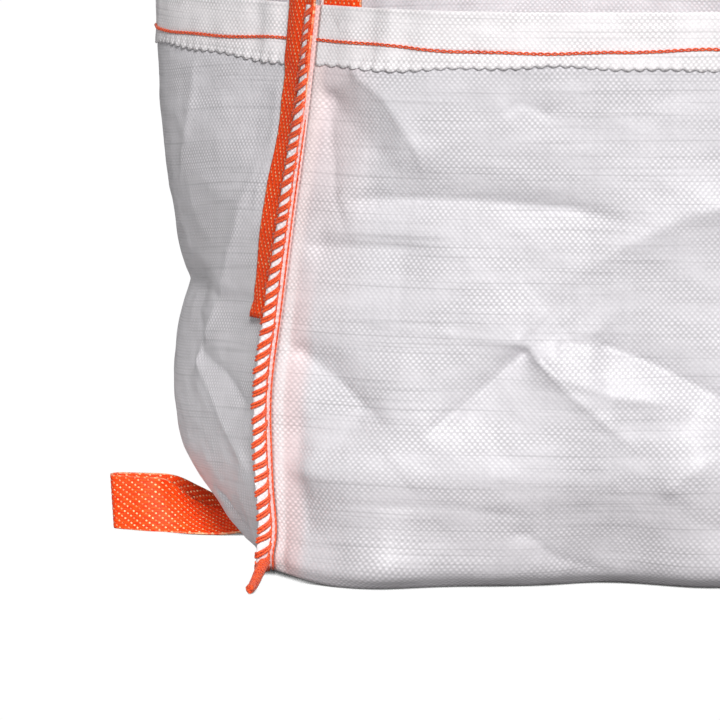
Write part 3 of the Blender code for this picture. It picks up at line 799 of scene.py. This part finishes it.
seam_end = SEAM_GONE[-1]
for side_name, sign_x in (("left", 1), ("right", -1)):
    rng = np.random.default_rng(20)
    courses = []
    for start in np.arange(0.004, seam_end - 0.008, OVERLOCK):
        wobble = rng.uniform(-0.0008, 0.0008, 3)
        slant = OVERLOCK_SLANT * (1 + rng.uniform(-0.25, 0.25))
        for pair in (-PAIR_APART / 2, PAIR_APART / 2):
            gone = start + pair + wobble[0] + TURN_DESCENT * slant
            points = on_seam(np.clip(gone, 0, seam_end), TURN_WIDTH + wobble[1], TURN_AWAY)
            courses.append(points * (sign_x, 1, 1))
    yarn(f"overlock_{side_name}", courses, OVERLOCK_YARN)
    gone = np.arange(0.001, seam_end, 0.0011)
    over = 0.0004 * np.cos(2 * np.pi * gone / STITCH)
    out = smoothstep(0.08, 0.14, np.minimum(gone, seam_end - gone))
    strands = []
    for face in (1, -1):
        away = face * (PLY + CLOTH / 2 + 0.0008 + over) * out
        for line, swing_width in ((CHAIN_LINE, 0.0004), (NEEDLE_LINE, 0.0002)):
            for phase in (0, np.pi):
                swing = np.sin(np.pi * gone / STITCH + phase) * swing_width
                strands.append(on_seam(gone, line + swing, away) * (sign_x, 1, 1))
    yarn(f"seam_chain_{side_name}", strands, CHAIN_YARN)


# Lift loops
# 50 mm woven polypropylene webbing. One leg lies on the side panel and one inside the front or
# back, sewn into the corner seam, and the free loop turns on edge and stands over the corner.

WEB = 0.050
WEB_THICK = 0.0018
WEB_COLUMNS = 33
LEG_LENGTH = 0.275
LEG_STEP = 0.005        # from row to row of a leg's points
LEG_MARGIN = 0.0035     # between the corner and the webbing
LEG_OFF = CLOTH / 2 + WEB_THICK / 2 + 0.0006
LEG_TOP = 0.006         # the legs stand this far over the hem before the free loop starts
LOOP_RISE = 0.175
LOOP_SPREAD = 0.050
LOOP_TWIST_END = 0.36   # of the free loop, from each end
WEB_CUP = 0.0012

# Flat-woven webbing: orange yarn runs lengthwise, and pale binding threads come up as small
# flecks in slanting rows 6.6 mm apart, 3.1 mm from fleck to fleck, each with a painted shade beside it
# where the yarn dips.
FLECK_APART = 0.0031
ROW_APART = 0.0066
ROW_SLANT = 0.645
webbing_material, tree, shader = new_material(
    "orange_woven_webbing", Roughness=0.6, Specular_IOR_Level=0.25, Sheen_Weight=0.0)
uv = add_node(tree, "UVMap", uv_map="weave")


def slanted(place, along, across):
    """A place in the slanting rows, measured by two vectors."""
    parts = [add_node(tree, "VectorMath", {0: place, 1: measure}, operation="DOT_PRODUCT").outputs["Value"]
             for measure in (along, across)]
    return add_node(tree, "CombineXYZ", {"X": parts[0], "Y": parts[1]})


cells = slanted(uv, (0, 1 / FLECK_APART, 0), (1 / ROW_APART, -ROW_SLANT / ROW_APART, 0))
part = add_node(tree, "VectorMath", {0: cells}, operation="FRACTION")
centred = add_node(tree, "VectorMath", {
    0: part, 1: (1000 * FLECK_APART, 1000 * ROW_APART, 0), 2: (-500 * FLECK_APART, -500 * ROW_APART, 0)},
    operation="MULTIPLY_ADD")
cell = add_node(tree, "VectorMath", {0: cells}, operation="FLOOR")
chance = add_node(tree, "TexWhiteNoise", {"Vector": cell}, noise_dimensions="2D")


def spot(shift, along, across):
    """A soft-edged oval in every cell, shifted and sized in millimetres."""
    place = add_node(tree, "VectorMath", {0: centred, 1: shift}, operation="ADD")
    oval = slanted(place, (1 / along, 0, 0), (ROW_SLANT / across, 1 / across, 0))
    reach = add_node(tree, "VectorMath", {0: oval}, operation="LENGTH").outputs["Value"]
    return add_node(tree, "MapRange", {"Value": reach, "From Min": 0.7, "From Max": 1.25,
                                       "To Min": 1.0, "To Max": 0.0})


fleck = spot((0, 0, 0), 0.95, 0.80)
# Beside each fleck a dark spot is painted: a painted shade where the yarn dips.
painted_groove_shade = spot((1.1, -1.2, 0), 0.95, 0.85)
strength = add_node(tree, "MapRange", {"Value": chance, "To Min": 0.15, "To Max": 1.0})
bright = add_node(tree, "Math", {0: fleck, 1: strength}, operation="MULTIPLY")
drawn = add_node(tree, "VectorMath", {0: uv, 1: (800, 110, 1)}, operation="MULTIPLY")
fibres = add_node(tree, "TexNoise", {"Vector": drawn, "Scale": 1.0, "Detail": 3.0}, noise_dimensions="2D")
hue = add_node(tree, "ValToRGB", {"Fac": fibres})
for stop, position, code in zip(hue.color_ramp.elements, (0.32, 0.68), ("F23000", "FF560E")):
    stop.position = position
    stop.color = linear(code)
dark = add_node(tree, "MapRange", {"Value": painted_groove_shade, "To Min": 1.0, "To Max": 0.50})
# The turned-in face of the far ply is painted darker: a painted shade.
shaded = add_node(tree, "Attribute", attribute_name="painted_shade_inner_side").outputs["Fac"]
shaded = add_node(tree, "MapRange", {"Value": shaded, "To Min": 1.0, "To Max": 0.55})
dark = add_node(tree, "Math", {0: dark, 1: shaded}, operation="MULTIPLY")
toned = add_node(tree, "VectorMath", {0: hue, "Scale": dark}, operation="SCALE")
flecked = add_node(tree, "Mix", {0: bright, 6: toned, 7: linear("FFDCA8")}, data_type="RGBA").outputs[2]
web_u = add_node(tree, "SeparateXYZ", {0: uv}).outputs["X"]
off_middle = add_node(tree, "Math", {0: web_u, 1: WEB / 2}, operation="SUBTRACT")
off_middle = add_node(tree, "Math", {0: off_middle}, operation="ABSOLUTE")
selvage = add_node(tree, "MapRange", {
    "Value": off_middle, "From Min": 0.0236, "From Max": 0.0248, "To Max": 0.8})
selvage = add_node(tree, "Math", {0: selvage, 1: chance}, operation="MULTIPLY")
edged = add_node(tree, "Mix", {0: selvage, 6: flecked, 7: linear("F8C79A")}, data_type="RGBA").outputs[2]
tree.links.new(edged, shader.inputs["Base Color"])
raised = add_node(tree, "Math", {0: fibres, 1: fleck}, operation="ADD")
thread_bump = add_node(tree, "Bump", {"Strength": 0.6, "Distance": 0.0004, "Height": raised})
tree.links.new(thread_bump.outputs[0], shader.inputs["Normal"])

web_across = np.linspace(0, WEB, WEB_COLUMNS)
ribs = 0.00016 * np.cos(web_across * 2 * np.pi / (WEB / 10))


def on_wall_leg(wall, end, z, off):
    """One row of webbing lying on a wall, beside the seam at one end of it."""
    t = end * np.linspace(1, 0.5, 160)
    line = wall_point(wall, t, z)
    at = np.interp(LEG_MARGIN + web_across, path_lengths(line, 0), t)
    return wall_point(wall, at, z, off)


def bezier(p, f):
    """A point of the cubic curve through four control points."""
    g = 1 - f
    return p[0] * g**3 + p[1] * (3 * f * g * g) + p[2] * (3 * f * f * g) + p[3] * f**3


def free_loop(first, last):
    """Rows of webbing between two legs: each turns on its edge above the bag, and they meet."""
    (start, start_way), (end, end_way) = (
        ((row[0] + row[-1]) / 2, unit(row[-1] - row[0])) for row in (first, last))
    chord = unit(end - start)
    inward = np.cross((0, 0, 1), chord)
    inward *= -np.sign(np.dot(inward, start * (1, 1, 0)))
    pull = np.array((0, 0, LOOP_RISE * 4 / 3))
    p = [start, start + pull - chord * LOOP_SPREAD, end + pull + chord * LOOP_SPREAD, end]
    turns = []
    for way, axis in ((start_way, p[1] - p[0]), (end_way, p[3] - p[2])):
        turns.append(math.atan2(np.dot(np.cross(inward, way), unit(axis)), np.dot(inward, way)))
    rows = []
    for f in np.linspace(0, 1, 82)[1:-1]:
        centre = bezier(p, f)
        tangent = unit(bezier(p, min(f + 0.01, 1)) - bezier(p, max(f - 0.01, 0)))
        left = 1 - smoothstep(0, LOOP_TWIST_END, min(f, 1 - f))
        turn = turns[0 if f < 0.5 else 1] * left
        across = inward * math.cos(turn) + np.cross(tangent, inward) * math.sin(turn)
        face = unit(np.cross(across, tangent))
        cup = WEB_CUP * (1 - (2 * web_across / WEB - 1) ** 2)
        rows.append(centre + across * (web_across - WEB / 2)[:, None] + face * cup[:, None])
    return rows


def webbing_piece(name, rows, node, painted_shade_rows=0):
    """Webbing from its rows of points, with its lengthwise ribs. Its last rows may be a face
    that was turned inwards, which is painted darker, a painted shade."""
    points = np.array(rows)
    face = unit(np.cross(np.gradient(points, axis=0), np.gradient(points, axis=1)))
    gone = path_lengths(points, 0)[:, [WEB_COLUMNS // 2]]
    cloth = np.stack(np.broadcast_arrays(web_across, gone), axis=-1)
    inner = np.zeros(points.shape[:2])
    if painted_shade_rows:
        inner[-painted_shade_rows:] = 0.8 * smoothstep(0, 12, np.arange(painted_shade_rows))[:, None]
    piece = grid_piece(name, [(points + face * ribs[None, :, None], cloth, {"painted_shade_inner_side": inner})],
                       WEB_THICK, webbing_material)
    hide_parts(node)
    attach(piece, "root")


for loop_name, side_wall, side_end, end_wall, end_end in (
        ("front_left", LEFT, -1, FRONT, -1), ("front_right", RIGHT, -1, FRONT, 1),
        ("back_left", LEFT, 1, BACK, -1), ("back_right", RIGHT, 1, BACK, 1)):
    rows = []
    for drop in np.arange(LEG_LENGTH, -0.0001, -LEG_STEP):
        over_hem = 0.0016 * smoothstep(HEM + 0.014, HEM - 0.002, drop)
        curl = 0.004 * smoothstep(0.235, LEG_LENGTH, drop) * (web_across / WEB) ** 2
        rows.append(on_wall_leg(side_wall, side_end, HEIGHT - drop, LEG_OFF + over_hem + curl))
    inner = [on_wall_leg(end_wall, end_end, HEIGHT - drop, -LEG_OFF)
             for drop in np.arange(0.0, LEG_LENGTH + 0.0001, LEG_STEP)]
    top_out, top_in = rows[-1] + (0, 0, LEG_TOP), inner[0] + (0, 0, LEG_TOP)
    rows = rows + [top_out] + free_loop(top_out, top_in) + [top_in] + inner
    webbing_piece(f"lift_loop_webbing_{loop_name}", rows, f"lift_loop_{loop_name}")


# Tip straps
# A loop of the same webbing at the base of each side, for tipping the bag out. Both ends are
# sewn in the base seam; the loop lies on the floor and turns on its edge where it doubles back.

STRAP_START = 0.3158
STRAP_RUN = 0.1240
STRAP_TURN = 0.010      # radius of the bend where it doubles back
FLOOR_GAP = 0.0013
TURNED_IN_ROWS = 46     # of the far ply, whose inner face is seen and painted darker as shade
# Part of the run, then for each ply its turn in degrees and where its lower edge lies in mm
NEAR_PLY = ((-0.12, 0, -25), (0, 0, -25), (0.15, 11, -24), (0.24, 17, -23), (0.40, 24, -21),
            (0.51, 31, -18), (0.62, 52, -13), (0.72, 76, -8), (0.85, 83, -3), (1, 90, 10))
FAR_PLY = ((-0.12, 0, -25), (0, 0, -25), (0.15, 14, -18), (0.24, 24, -10), (0.40, 40, 2),
           (0.51, 50, 9.5), (0.62, 68, 15), (0.72, 84, 20), (0.85, 90, 26), (1, 90, 30))


def ply_row(f, degrees, low_y, low_z):
    """One row of a ply, by its part of the run, its turn, and where its lower edge lies."""
    angle = math.radians(degrees)
    x = STRAP_START + STRAP_RUN * f + 0.003 * web_across / WEB * smoothstep(0.5, 1, f)
    y = low_y * 0.001 + web_across * math.cos(angle)
    return np.stack([-x, y, low_z + web_across * math.sin(angle)], axis=-1)


def strap_rows():
    """Rows of the left strap: out along the near ply, round the bend and back along the far one."""
    plies = []
    for table, flat_z in ((NEAR_PLY, 0.0055), (FAR_PLY, 0.0025)):
        part, degrees, low_y = np.array(table, float).T
        f = np.linspace(-0.12, 1, 60)
        smooth = [smoothed(np.interp(f, part, values)) for values in (degrees, low_y)]
        low_z = FLOOR_GAP + (flat_z - FLOOR_GAP) * smoothstep(0.30, 0.0, f)
        plies.append([ply_row(*values) for values in zip(f, *smooth, low_z)])
    middle = ply_row(1, 90, 20, FLOOR_GAP)
    turn_rows = []
    for angle in math.pi * np.arange(1, 12) / 12:
        turn_rows.append(middle + STRAP_TURN * np.array((-math.sin(angle), -math.cos(angle), 0)))
    return plies[0] + turn_rows + plies[1][::-1]


for side_name, sign_x in (("left", 1), ("right", -1)):
    webbing_piece(f"tip_strap_webbing_{side_name}", [row * (sign_x, 1, 1) for row in strap_rows()],
                  f"tip_strap_{side_name}", painted_shade_rows=TURNED_IN_ROWS)


# Loose ends
# Where the seam turns under a front or back corner, the overlock runs off as a short tail of
# thread that hangs to the floor.

TAIL_ROOT = (-0.3060, -0.2860, 0.0155)
TAIL_RUN = (-0.0115, -0.0760, -0.0110)
TAIL_STRANDS = 3
STRAND = 0.0023         # radius of a strand
for tail_name, sign_x, sign_y in (("front_left", 1, 1), ("front_right", -1, 1),
                                  ("back_left", 1, -1), ("back_right", -1, -1)):
    s = np.linspace(0, 1, 90)
    gone = (s, s, smoothstep(0, 0.9, s))
    spine = np.stack([TAIL_ROOT[k] + TAIL_RUN[k] * gone[k] for k in range(3)], axis=-1)
    radius = 0.0030 - 0.0012 * s
    courses = []
    for phase in np.arange(TAIL_STRANDS) * 2 * np.pi / TAIL_STRANDS:
        angle = 30 * s + phase
        ring = np.stack([np.cos(angle), np.zeros(s.shape), np.sin(angle)], axis=-1) * radius[:, None]
        courses.append((spine + ring) * (sign_x, sign_y, 1))
    yarn(f"seam_tail_{tail_name}", courses, STRAND, fineness=2)
